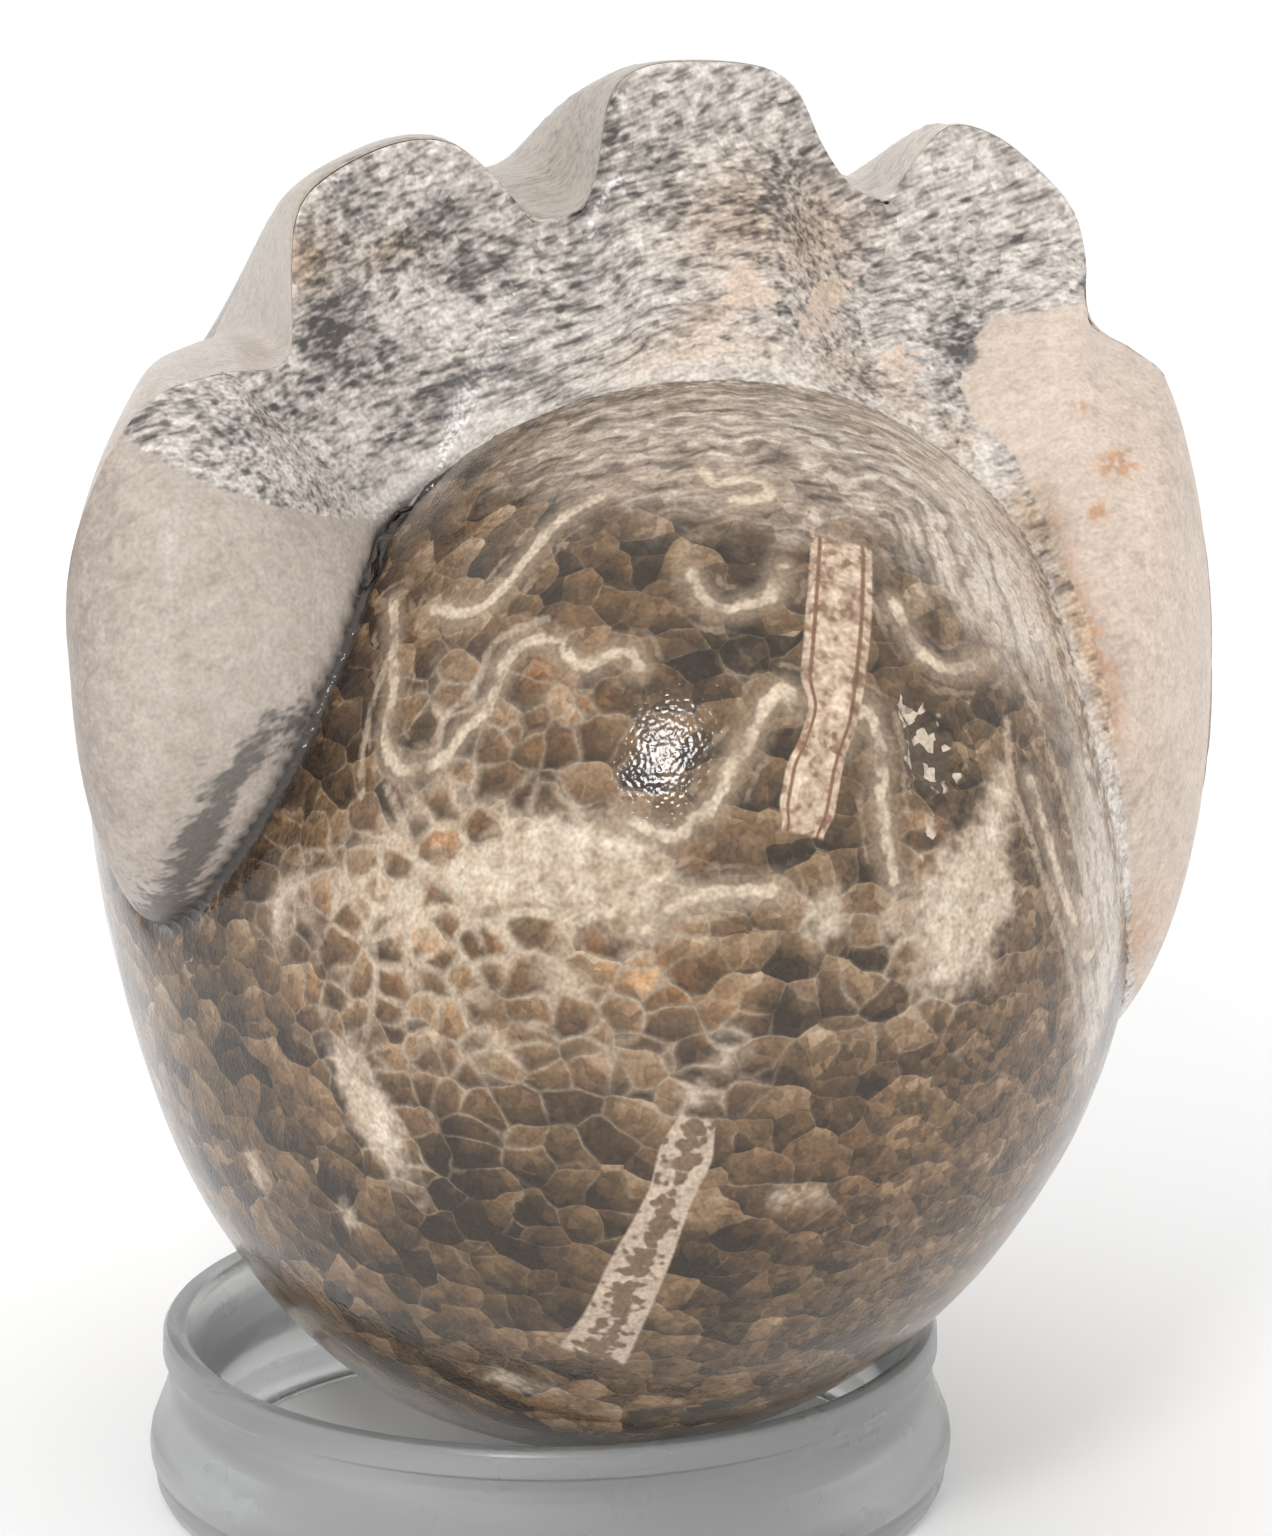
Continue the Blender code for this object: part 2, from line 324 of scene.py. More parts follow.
# %% Patches and waves
def patches(spots, on_coil=True):
    """Sum of soft patches: place, two half-lengths in mm, tilt in degrees and strength.

    On the coil the place is a growth and an across angle; else it is x and z in millimetres.
    """
    total = np.zeros(len(points))
    for first, second, length, width, tilt, strength in spots:
        if on_coil:
            along = (growth - first) * 0.9 * math.cos(math.radians(second))
            over = (across - second) * 0.8
        else:
            along, over = points[:, 0] - first, points[:, 2] - second
        turn = math.radians(tilt)
        far = (along * math.cos(turn) + over * math.sin(turn)) / length
        wide = (over * math.cos(turn) - along * math.sin(turn)) / width
        total += strength * np.exp(-far ** 2 - wide ** 2)
    return total


def waves(size, seed, octaves=1):
    """Smooth noise at every corner, about -1 to 1, with waves of a size in millimetres."""
    total = np.zeros(len(points))
    for octave in range(octaves):
        shift = Vector((seed * 31.7, seed * 17.3, seed * 7.9 + octave * 5.1))
        scale = 2 ** octave / size
        total += np.array([noise.noise(Vector(p) * scale + shift) for p in points]) / 2 ** octave
    return total


# %% Sutures
SUTURES = (
    ((48, -59), (60, -57), (66, -55.5), (75, -54.5), (78.5, -53), (80, -51), (79, -48), (77, -45.5),
     (72, -43), (70, -41.3), (67, -40.8), (62.5, -40), (60, -37), (60, -34.5), (62.5, -31.5),
     (63, -30), (61.5, -27), (61, -25), (62.5, -23.5)),
    ((53, -52), (55, -48), (54.5, -45), (51, -42), (47, -39.5), (43, -37), (39, -31), (37, -26)),
    ((51, -19), (54, -17), (55, -14.5), (54, -11), (53, -9), (49, -7.5)),
    ((78, -21), (78.7, -18), (79, -16), (77, -13.5), (74, -11.3), (71, -10.7), (68, -9),
     (65.5, -8), (63, -6.8), (62.5, -5.5), (64, -4)),
    ((67, 2), (64, 3), (62.5, 4.5), (65, 6.5), (70, 8), (75, 9.8), (78, 11.5)),
    ((50, 7), (54, 10), (55.5, 14), (54, 18), (51, 22)),
    ((64, 29), (69, 33), (74, 37), (79, 42), (83, 46.5), (80, 50)),
    ((88, -16), (84, -12), (82, -6), (81, -2)),
    ((36, -18), (38, -16), (37, -13), (38, -9), (40, -10), (40.5, -14)),
)
TRACES = (
    ((72, -47), (67, -44), (64, -43), (62, -43), (60, -42), (58.5, -39.5), (57, -36)),
    ((58, -57), (70, -58), (80, -57), (86, -55)),
    ((58, 24), (64, 25.5), (70, 30), (77, 36), (85, 43), (92, 47)),
    ((46, 14), (48, 20), (53, 27), (60, 33), (68, 39), (77, 45)),
    ((83, -52), (88, -47), (91, -44), (92, -38), (96, -33)),
    ((100, -52), (103, -46), (110, -43), (116, -42)),
)
WALL_SPACING = 21
WALL_WAVE = 9


def wall_line(at_growth, low=-62, high=62):
    """Suture of an older wall: the rim's lobes again, seen from outside."""
    places = np.arange(low, high, 1.5)
    height = smooth_through(RIM_HEIGHT, places)
    return np.stack([at_growth + WALL_WAVE * 10 * (height - 0.97), places], axis=-1)


older_walls = [wall_line(at) for at in range(205, 345, WALL_SPACING)]
suture, trace = nearest([*SUTURES, *older_walls])[0], nearest(TRACES)[0]
print("Sutures:", len(SUTURES), "on the front,", len(older_walls), "further back")

# %% Patches of crystal
CREAM = (
    (84, -28, 4.0, 8.0, 17, 1.1), (85, -19, 4.5, 5.0, 0, 0.8), (97, -46, 4.0, 6.0, 0, 0.6),
    (83, -7, 1.4, 5.5, 10, 0.7), (80, 21, 6.5, 5.5, 0, 1.4), (67, 24, 4.0, 2.2, 0, 0.9),
    (83, 4, 3.0, 2.4, 0, 0.9), (121, -38, 2.5, 7.0, -19, 1.2),
    (79, 43, 3.5, 2.5, 0, 0.9), (147, -44, 2.0, 2.4, 0, 0.7),
    (135, -34, 1.6, 1.6, 0, 0.7), (109, 10, 1.6, 4.0, 0, 0.6), (110, -59, 4.0, 2.5, 0, 0.7),
    (104, -29, 2.0, 4.0, 0, 0.6), (96, -2, 3.0, 2.4, 0, 0.6), (101, -5, 2.0, 2.0, 0, 0.6),
    (90, -36, 3.0, 6.0, 0, 0.6), (76, 24, 3.0, 3.0, 0, 0.8), (59, -12, 3.0, 3.0, 0, 0.3),
    (141, -8, 2.0, 4.5, 20, 0.7), (250, 20, 9.0, 6.0, 30, 0.9),
    (290, -35, 12.0, 5.0, 10, 0.9), (225, -20, 6.0, 9.0, 0, 0.8),
)
AMBER = (
    (94, -38, 14.0, 14.0, 0, 0.6),
    (66, -33, 5.0, 6.0, 0, 1.0), (60, -34, 2.5, 3.5, 0, 0.8), (92, -14, 3.0, 8.0, 0, 0.9),
    (86, -44, 5.0, 5.0, 0, 0.7), (110, -50, 6.0, 5.0, 0, 0.6), (80, -13, 1.4, 2.2, 0, 1.2),
    (52, -30, 3.0, 4.0, 0, 0.5), (74, 15, 2.5, 2.4, 0, 1.1), (105, 14, 5.0, 8.0, 0, 0.4),
    (240, -30, 9.0, 9.0, 0, 0.8), (300, 20, 9.0, 7.0, 0, 0.7),
)
DARK = (
    (122, -19, 8.0, 9.0, 0, 0.9), (143, -24, 8.0, 9.0, 0, 0.7), (150, 5, 6.0, 14.0, 0, 0.5),
    (124, -29, 4.0, 5.0, 0, 0.6),
    (60, -17, 3.0, 4.0, 0, 0.8),
    (141, -54, 6.0, 4.0, 0, 0.6), (131, 27, 8.0, 8.0, 0, 0.6), (105, -16, 3.0, 4.0, 0, 0.6),
    (110, 22, 8.0, 12.0, 0, 0.4), (125, 22, 9.0, 9.0, 0, 0.5), (64, 13, 4.6, 2.3, 10, 1.2),
    (52, -30, 3.0, 3.5, 0, 0.7),
    (91, 1, 4.0, 1.2, 0, 0.9), (22, -20, 1.6, 9.0, 0, 0.9), (30, -38, 2.0, 6.0, 10, 0.7),
)
PALE = (
    (25, -10, 18.0, 30.0, 0, 1.2), (30, 30, 16.0, 14.0, 0, 1.2), (60, 48, 18.0, 8.0, 0, 1.0),
    (85, 55, 14.0, 5.0, 0, 0.7),
)
VEINS = (
    (88, -42, 15.0, 13.0, 0, 0.45), (106, -46, 9.0, 12.0, 0, 0.35), (70, -47, 8.0, 5.0, 0, 0.30),
    (97, -20, 8.0, 9.0, 0, 0.35), (112, -22, 6.0, 8.0, 0, 0.20), (88, -28, 8.0, 14.0, 0, 0.25),
    (84, 14, 9.0, 9.0, 0, 0.30), (66, -30, 6.0, 9.0, 0, 0.20), (101, -4, 5.0, 5.0, 0, 0.30),
    (240, -10, 16.0, 20.0, 0, 0.40), (300, 25, 16.0, 12.0, 0, 0.40), (290, -40, 16.0, 9.0, 0, 0.40),
)
VUG = ((60.5, 10, 2.0, 1.5, 0, 0.7), (65, 14, 3.0, 3.2, 0, 1.1), (73.5, 15, 2.2, 1.7, 0, 0.6))
cream, amber, dark, pale, veins, vug = (
    patches(spots) for spots in (CREAM, AMBER, DARK, PALE, VEINS, VUG))
cloud = waves(9, 4, 2)
drift = np.stack([waves(2.4, seed, 2) for seed in (11, 12, 13)], axis=-1)
drift = 0.5 + 0.09 * drift / drift.std(axis=0)
shade = 0.10 * amber - 0.30 * dark + 0.12 * cloud
soft = 0.5 * cream + 0.8 * veins
print("Patches:", sum(map(len, (CREAM, AMBER, DARK, PALE, VEINS, VUG))))

# %% Siphuncle
UPPER_STRIP = ((44.5, 0, 4.0), (52, 0, 4.2), (60.5, 0, 4.0), (63.7, 0.6, 3.1), (67, 0, 3.0),
               (70, -0.6, 3.4), (73, -0.6, 3.4), (75.2, -0.5, 2.6))
LOWER_STRIP = ((103.5, -3.4, 2.3), (107, -3.3, 3.2), (111, -3.2, 2.7), (120, -3.3, 3.4),
               (126, -3.0, 3.5), (132, -2.9, 4.0))


def strip_side(strip):
    """Distance from the strip's middle, as a share of its half width."""
    at, middle, half = zip(*strip)
    return (across - smooth_through(tuple(zip(at, middle)), growth)) / smooth_through(
        tuple(zip(at, half)), growth)


def beyond_ends(strip):
    """How far a place is past the ends of the strip, in degrees of growth; 0 inside."""
    return np.maximum(np.maximum(strip[0][0] - growth, growth - strip[-1][0]), 0)


upper_side, lower_side = strip_side(UPPER_STRIP), strip_side(LOWER_STRIP)
upper_end, lower_end = beyond_ends(UPPER_STRIP), beyond_ends(LOWER_STRIP)

# %% Limestone
front = (growth < HALF_TURN) | ~on_body


def side_of(line):
    """Signed distance to a line drawn in the front view (x and z in mm), left side positive."""
    line = np.array(line, float)
    flat = points[:, [0, 2]]
    best = np.full(len(flat), 1e9)
    signed = np.zeros(len(flat))
    for start, end in zip(line[:-1], line[1:]):
        run = end - start
        t = np.clip((flat - start) @ run / (run @ run), 0, 1)
        gap = flat - start - t[:, None] * run
        length = np.hypot(*gap.T)
        turn = run[0] * (flat[:, 1] - start[1]) - run[1] * (flat[:, 0] - start[0])
        signed = np.where(length < best, np.sign(turn) * length, signed)
        best = np.minimum(best, length)
    return signed


LEFT_MATRIX_EDGE = ((-16, 81.2), (-20.1, 82.6), (-29.4, 86.4), (-34.6, 88.8), (-39, 90.9),
                    (-60, 99))
RIGHT_MATRIX_EDGE = (
    (38, 50), (37.3, 57.4), (36.6, 63.4), (35.3, 71.3), (33.5, 76.8), (31.1, 82), (28.4, 87.2),
    (25.8, 89.2), (24.7, 91.8), (25.5, 93.7), (27.2, 96), (35, 97), (50, 98.5),
)
matrix = np.where(points[:, 0] < 0, side_of(LEFT_MATRIX_EDGE), -side_of(RIGHT_MATRIX_EDGE))
groove = np.where(front & (points[:, 0] > 20), np.abs(matrix), 9)
matrix = np.where(front, np.minimum(matrix, seam), -9)
near_rim = ease(growth, 312, 335)
matrix = np.maximum(matrix, np.where(front, -9, 4 * near_rim - 2 + cloud))
plug = (np.abs(across) - 76) * 0.8 + cloud * 2
matrix = np.maximum(matrix, np.where(front & (seam > -2), -9, plug))

# %% Blotches of the wall and the horns, in the front view
GREY = (
    (-16, 104.5, 3.0, 1.6, 20, 0.8), (-20, 107, 4.0, 1.6, 25, 0.5), (-9, 97.5, 5.0, 1.6, 20, 0.6),
    (2, 108, 2.0, 3.0, 0, 0.5),
    (10, 107, 2.5, 4.0, 0, 0.5), (20, 100, 4.0, 1.5, 20, 0.5), (-30, 91, 4.0, 1.3, 20, 0.6),
    (-15, 92, 2.0, 1.4, 0, 0.7),
    (-24, 96.9, 2.4, 4.6, 0, 1.5), (-19, 93.5, 3.0, 2.0, -30, 0.7), (-12.6, 101, 3.0, 2.6, 0, 0.9),
    (-3, 110, 3.0, 4.0, 0, 0.6), (-5.5, 106, 2.2, 5.0, 0, 0.6), (24.9, 94.1, 1.5, 1.6, 0, 1.6),
    (-9.5, 92.8, 4.5, 1.6, -15, 0.9), (-18, 88.5, 3.5, 2.0, 30, 0.8), (-37.5, 92.5, 2.5, 1.3, 0, 1.0),
    (13, 104, 5, 4, 0, 0.5), (-29.4, 67.7, 1.3, 4.5, -30, 1.3), (-33.5, 61, 1.6, 5.5, -22, 1.3),
    (-25.5, 70.5, 1.0, 3.6, -25, 1.0), (-37.5, 50, 3.5, 8.0, -10, 1.4), (-30, 57, 2.0, 5.0, -35, 1.0),
    (17.5, 91.2, 3.0, 1.2, -30, 0.5), (31, 80, 1.4, 4.0, 28, 0.5),
)
RUST = (
    (0, 94.5, 4.0, 1.5, 10, 0.4), (8, 95.5, 4.0, 1.5, 0, 0.45), (15, 93.5, 3.0, 1.5, -20, 0.5),
    (20, 91, 3.0, 1.3, -35, 0.6),
    (-25.8, 102.3, 2.0, 2.4, 0, 1.0), (-19.5, 102.5, 2.5, 1.2, 20, 0.7), (7, 104, 5, 4, 20, 0.7),
    (14, 102, 4, 4, 0, 0.6), (5, 97.5, 3.0, 1.2, 20, 0.6), (24.5, 87.9, 1.6, 1.6, 0, 0.6),
    (29.7, 82.4, 1.6, 2.6, 30, 1.0), (33.2, 76.2, 1.3, 4.5, 20, 1.2), (35.2, 70, 1.3, 5.0, 12, 0.9),
    (36.6, 86.3, 1.4, 0.8, 0, 2.4), (34.8, 83.3, 0.5, 0.6, 0, 2.4), (34, 90, 0.4, 0.4, 0, 2.0),
    (37.5, 50, 2.0, 4.0, -30, 0.9),
)
PEACH = (
    (7.5, 99.6, 1.0, 1.8, -35, 1.5), (9.2, 98.7, 1.6, 0.7, 0, 1.2), (14.6, 98.3, 1.6, 0.8, 0, 1.4),
    (13.6, 96.5, 1.6, 1.2, 0, 0.9), (4, 95.5, 3.0, 1.0, 12, 0.7), (20, 93.5, 2.5, 1.5, -20, 0.7),
)
grey, rust, peach = (patches(spots, on_coil=False) * front for spots in (GREY, RUST, PEACH))
wall_shade = 0.07 * cloud - 0.20 * grey + 0.12 * (1 - ease(seam, 1.5, 4.5))
# Horn tone: cloudy changes of colour, plus painted light on the left horn's inner side near the seam, against
# the shade that falls there, and painted shade darkening the front towards the far left edge.
horn_cloud_light_and_shade = (0.16 * cloud + 0.24 * (1 - ease(seam, 0, 8)) * ease(-across, 40, 55)
              - 0.30 * ease(-points[:, 0], 38, 44) * front)
print("Blotches:", sum(map(len, (GREY, RUST, PEACH))))

# %% [markdown]
# ## Relief
#
# The stone was ground and polished, so it is smooth but not perfect: the surface waves a little,
# the seam is a fine broken groove, the chamber wall is rougher, and one hollow has crystals in
# it. These are real changes of the mesh, along each corner's normal.

# %% Move the corners along their normals
for corner, point in zip(fossil_grid.verts, points):
    corner.co = Vector(point)
bmesh.ops.recalc_face_normals(fossil_grid, faces=fossil_grid.faces)
if fossil_grid.calc_volume(signed=True) < 0:
    bmesh.ops.reverse_faces(fossil_grid, faces=fossil_grid.faces)
fossil_grid.normal_update()
print("Volume inside the faces, cm3:", round(fossil_grid.calc_volume(signed=True) / 1000, 1))
normals = np.array([corner.normal for corner in fossil_grid.verts])
slow, middle, quick = waves(14, 1), waves(4, 2), waves(1.4, 3)
rough = 0.35 + 0.65 * front * ease(seam, 0, 1) * (matrix < 0)
# The left crack: a groove cut into the mesh, and the same weight later paints near-black shade into it.
left_crack_and_shade = ease(-across, 48, 58) * np.exp(-((seam + 0.5 * middle) / 0.7) ** 2)
relief = slow * 0.22 + middle * 0.10 * rough + quick * 0.06 * rough
relief -= 0.8 * left_crack_and_shade * (0.7 + 0.5 * middle)
relief -= 0.35 * np.exp(-(groove / 0.8) ** 2) * ease(points[:, 2], 56, 64) * (0.8 + 0.5 * middle)
relief -= (0.8 + 0.5 * quick) * ease(vug, 0.35, 0.8)
relief += 0.12 * (1 - ease(np.abs(upper_side), 0.9, 1.1)) * (upper_end == 0)
for corner, normal, height in zip(fossil_grid.verts, normals, relief):
    corner.co += Vector(normal) * height
rim_zone = np.abs(row - BODY_ROWS) < 4
seam_zone = (np.abs(seam) < 0.9) & front
for zone, rounds in ((rim_zone, 5), (seam_zone, 1)):
    corners = [corner for corner, near in zip(fossil_grid.verts, zone) if near]
    for _ in range(rounds):
        bmesh.ops.smooth_vert(fossil_grid, verts=corners, factor=0.5, use_axis_x=True,
                              use_axis_y=True, use_axis_z=True)
bmesh.ops.scale(fossil_grid, vec=(MM, MM, MM), verts=fossil_grid.verts)
print("Relief in mm:", relief.min().round(2), "to", relief.max().round(2))

# %% Make the mesh and store the marks on it
fossil_mesh = bpy.data.meshes.new("ammonite_polished")
fossil_grid.to_mesh(fossil_mesh)
fossil_grid.free()
fossil_mesh.shade_smooth()
MARKS = {
    "suture": np.clip(suture, 0, 8), "trace": np.clip(trace, 0, 8), "cream": cream,
    "soft": soft, "amber": amber, "shade": shade, "pale": pale, "vug": vug,
    "seam": np.clip(seam, -30, 30), "matrix": np.clip(matrix, -8, 8), "wall": front * 1.0,
    "wall_shade": wall_shade, "horn_cloud_light_and_shade": horn_cloud_light_and_shade, "grey": grey, "rust": rust,
    "peach": peach, "crack_shade": left_crack_and_shade, "across": across * 0.8,
    "upper_side": np.clip(upper_side, -3, 3), "upper_end": np.clip(upper_end, 0, 5),
    "lower_side": np.clip(lower_side, -3, 3), "lower_end": np.clip(lower_end, 0, 5),
}
for name, values in MARKS.items():
    store = fossil_mesh.attributes.new(name, "FLOAT", "POINT")
    store.data.foreach_set("value", values.astype(np.float32))
store = fossil_mesh.attributes.new("drift", "FLOAT_VECTOR", "POINT")
store.data.foreach_set("vector", drift.astype(np.float32).ravel())
fossil = bpy.data.objects.new("ammonite_polished", fossil_mesh)
bpy.context.scene.collection.objects.link(fossil)
print("Attributes:", ", ".join(MARKS))

# %% [markdown]
# ## A small kit for node materials
#
# A material is a graph of nodes. These helpers add one node each and give back its result, so a
# finish below reads like a recipe. Lengths in patterns are in millimetres.

# %% Node helpers
class Finish:
    """A material and short calls that add nodes to it."""

    def __init__(self, name):
        self.material = bpy.data.materials.new(name)
        self.material.use_nodes = True
        self.tree = self.material.node_tree
        self.shader = self.tree.nodes["Principled BSDF"]

    def feed(self, socket, value):
        """Link a node's result to a socket, or set the socket's own value."""
        if isinstance(value, bpy.types.NodeSocket):
            self.tree.links.new(value, socket)
        else:
            socket.default_value = value

    def add(self, kind, inputs=(), result=0, **settings):
        """Add a node, set it up and give back one of its results."""
        item = self.tree.nodes.new(kind)
        for name, value in settings.items():
            setattr(item, name, value)
        for name, value in dict(inputs).items():
            self.feed(item.inputs[name], value)
        return item.outputs[result]

    def millimetres(self):
        """Object coordinates in millimetres."""
        place_in_object = self.add("ShaderNodeTexCoord", result="Object")
        return self.add("ShaderNodeVectorMath", {0: place_in_object, "Scale": 1000.0}, operation="SCALE")

    def mark(self, name):
        """One of the marks that are stored on the mesh."""
        return self.add("ShaderNodeAttribute", result="Fac", attribute_name=name)

    def maths(self, operation, a, b=0.0, clamp=False):
        return self.add("ShaderNodeMath", {0: a, 1: b}, operation=operation, use_clamp=clamp)

    def step(self, value, low, high):
        """0 below low and 1 above high, smooth between them; high may be the smaller one."""
        inputs = {"Value": value, "From Min": low, "From Max": high}
        return self.add("ShaderNodeMapRange", inputs, interpolation_type="SMOOTHSTEP")

    def noise(self, vector, size, detail=3.0, roughness=0.5, result="Fac"):
        inputs = {"Vector": vector, "Scale": 1 / size, "Detail": detail, "Roughness": roughness}
        return self.add("ShaderNodeTexNoise", inputs, result)

    def cells(self, vector, size, feature="F1", result="Color", randomness=1.0):
        inputs = {"Vector": vector, "Scale": 1 / size, "Randomness": randomness}
        return self.add("ShaderNodeTexVoronoi", inputs, result, feature=feature)

    def ramp(self, value, *stops):
        """Colour along a scale: stops are (place, (red, green, blue))."""
        made = self.add("ShaderNodeValToRGB", {"Fac": value})
        scale = made.node.color_ramp
        while len(scale.elements) < len(stops):
            scale.elements.new(0.5)
        for element, (position, colour) in zip(scale.elements, stops):
            element.position = position
            element.color = (*colour, 1)
        return made

    def mix(self, share, a, b, blend="MIX"):
        """Mix two colours, or numbers given as colours, by a share from 0 to 1."""
        made = self.tree.nodes.new("ShaderNodeMix")
        made.data_type = "RGBA"
        made.blend_type = blend
        made.clamp_factor = True
        for socket, value in ((made.inputs[0], share), (made.inputs[6], a), (made.inputs[7], b)):
            self.feed(socket, (*value, 1) if isinstance(value, tuple) else value)
        return made.outputs[2]

    def shifted(self, vector, cloud, amount):
        """Shift a vector by a coloured noise, so that straight patterns wander."""
        centred = self.add("ShaderNodeVectorMath", {0: cloud, 1: (0.5, 0.5, 0.5)}, operation="SUBTRACT")
        return self.add("ShaderNodeVectorMath", {0: centred, 1: (amount,) * 3, 2: vector},
                        operation="MULTIPLY_ADD")

    def mix_places(self, share, a, b):
        """Pattern coordinates a or b, by a share from 0 to 1."""
        made = self.add("ShaderNodeMix", data_type="VECTOR").node
        for socket, value in ((made.inputs[0], share), (made.inputs[4], a), (made.inputs[5], b)):
            self.feed(socket, value)
        return made.outputs[1]

    def total(self, start, *parts):
        """A number plus some numbers times their weights."""
        for part, weight in parts:
            start = self.add("ShaderNodeMath", {0: part, 1: weight, 2: start}, operation="MULTIPLY_ADD")
        return start

    def bump(self, height, distance, strength):
        """Normals that lean with a height, given in metres."""
        return self.add("ShaderNodeBump", {"Height": height, "Distance": distance, "Strength": strength})

    def product(self, a, b, clamp=False):
        return self.maths("MULTIPLY", a, b, clamp)


# %% [markdown]
# ## The stone
#
# The finish is built in layers, as the stone itself is. Brown calcite crystals fill the chambers;
# each cell is a little darker on one side and has a pale edge, and the edges grow wide and soft
# where cream calcite spread between them. Amber and dark spots lie over that, then the sutures
# and the siphuncle. The broken wall has a salt-and-pepper grain with slanting streaks, and the
# horns are smooth pinkish limestone. A few patterns are shared by all layers.

# %% Shared patterns
stone = Finish("polished_stone")
mm = stone.millimetres()
drifting = stone.add("ShaderNodeAttribute", result="Vector", attribute_name="drift")
drift_a, drift_b, drift_c = stone.add("ShaderNodeSeparateXYZ", {0: drifting}).node.outputs
jitter = stone.noise(mm, 1.05, 1.0, 0.66)
small_cells = stone.cells(mm, 0.85).node
small_tone = stone.add("ShaderNodeSeparateColor", {0: small_cells.outputs["Color"]})
seam_mark = stone.total(-0.5, (stone.mark("seam"), 1.0), (jitter, 1.0))
on_wall = stone.product(stone.step(stone.mark("wall"), 0.4, 0.6), stone.step(seam_mark, -0.15, 0.2))
flow = stone.add("ShaderNodeCombineXYZ", {"X": stone.total(0.0, (stone.mark("seam"), 0.6), (drift_a, 1.6)),
                                          "Y": stone.product(stone.mark("across"), 0.13)})
slanted = stone.add("ShaderNodeMapping", {"Vector": mm, "Rotation": (0, math.radians(-21), 0),
                                          "Scale": (4.0, 1.35, 1.0)}, vector_type="TEXTURE")
not_on_whorl = stone.maths("MAXIMUM", on_wall, stone.maths("SUBTRACT", 1.0, stone.mark("wall")))
grain = stone.noise(stone.mix_places(not_on_whorl, flow, slanted), 0.60, 1.0, 0.8)

# %% Crystal cells
THIN_VEIN = 0.06
WIDE_VEIN = 0.36
wandering = stone.shifted(mm, drifting, 1.8)
wandering = stone.add("ShaderNodeVectorMath", {0: wandering, 1: (0.95, 1.0, 1.25)}, operation="MULTIPLY")
cells = stone.cells(wandering, 3.1).node
cell_tone = stone.add("ShaderNodeSeparateColor", {0: cells.outputs["Color"]})
gap = stone.maths("SUBTRACT", stone.cells(wandering, 3.1, "F2", "Distance"), cells.outputs["Distance"])
from_middle = stone.add("ShaderNodeVectorMath", {0: wandering, 1: cells.outputs["Position"]},
                        operation="SUBTRACT")
lit_side = stone.add("ShaderNodeVectorMath", {0: from_middle, 1: (0.45, 0.0, 0.9)}, "Value",
                     operation="DOT_PRODUCT")
right_side = stone.step(stone.mark("across"), 2, 22)
field = stone.total(-0.22, (stone.mark("soft"), 1.0), (drift_c, 0.45))
tone = stone.total(-0.158, (cell_tone, 0.54), (lit_side, 0.105), (small_tone, 0.14), (drift_b, 0.42),
                   (stone.mark("shade"), 1.0), (field, 0.24))
fine_tone = stone.total(-0.08, (small_tone, 0.25), (jitter, 0.55), (tone, 0.45))
tone = stone.mix(stone.product(right_side, 0.75), tone, fine_tone)
crystal = stone.ramp(tone, (0.08, (0.030, 0.019, 0.011)), (0.35, (0.085, 0.051, 0.026)),
                     (0.6, (0.168, 0.101, 0.052)), (0.8, (0.28, 0.185, 0.108)), (1.0, (0.42, 0.32, 0.22)))
amber_share = stone.product(stone.mark("amber"), stone.step(drift_c, 0.35, 0.65), clamp=True)
crystal = stone.mix(amber_share, crystal, (1.38, 1.06, 0.74), "MULTIPLY")
vein_width = stone.product(stone.total(0.0, (field, 1.0), (drift_a, 0.5), (0.5, -0.4)), 0.6)
vein_width = stone.maths("MINIMUM", stone.maths("MAXIMUM", vein_width, THIN_VEIN), WIDE_VEIN)
vein = stone.step(gap, vein_width, stone.product(vein_width, -0.3))
one_side = stone.total(0.06, (stone.step(lit_side, 0.0, 1.1), 0.6), (field, 2.6))
vein = stone.product(vein, one_side, clamp=True)
patchy = stone.total(0.1, (stone.step(drift_a, 0.25, 0.6), 0.6), (cell_tone, 0.5))
vein = stone.product(vein, patchy, clamp=True)
vein_tone = stone.mix(stone.product(field, 1.5, clamp=True), (0.20, 0.145, 0.095),
                      (0.50, 0.395, 0.29))
crystal = stone.mix(vein, crystal, vein_tone)

# %% Cream clouds, pale flow lines and sutures
cream_edge = stone.total(-0.62, (stone.mark("cream"), 1.0), (drift_b, 0.55), (jitter, 0.5))
cream_tone = stone.ramp(stone.total(0.0, (jitter, 0.5), (drift_a, 0.5)), (0.32, (0.36, 0.265, 0.18)),
                        (0.48, (0.50, 0.40, 0.30)), (0.66, (0.62, 0.53, 0.42)))
crystal = stone.mix(stone.step(cream_edge, 0.12, 1.0), crystal, cream_tone)
bands = stone.maths("SINE", stone.total(0.0, (stone.mark("seam"), 1.9), (drift_a, 7.0)))
flow_value = stone.total(-0.1, (grain, 0.9), (small_tone, 0.10), (drift_b, 0.25), (bands, 0.05),
                         (right_side, 0.19))
flow_tone = stone.ramp(flow_value, (0.30, (0.10, 0.073, 0.053)), (0.46, (0.25, 0.19, 0.143)),
                       (0.58, (0.38, 0.30, 0.235)), (0.72, (0.54, 0.46, 0.38)))
flow_share = stone.step(stone.total(-0.3, (stone.mark("pale"), 1.0), (drift_c, 0.6)), 0.25, 0.85)
crystal = stone.mix(flow_share, crystal, flow_tone)
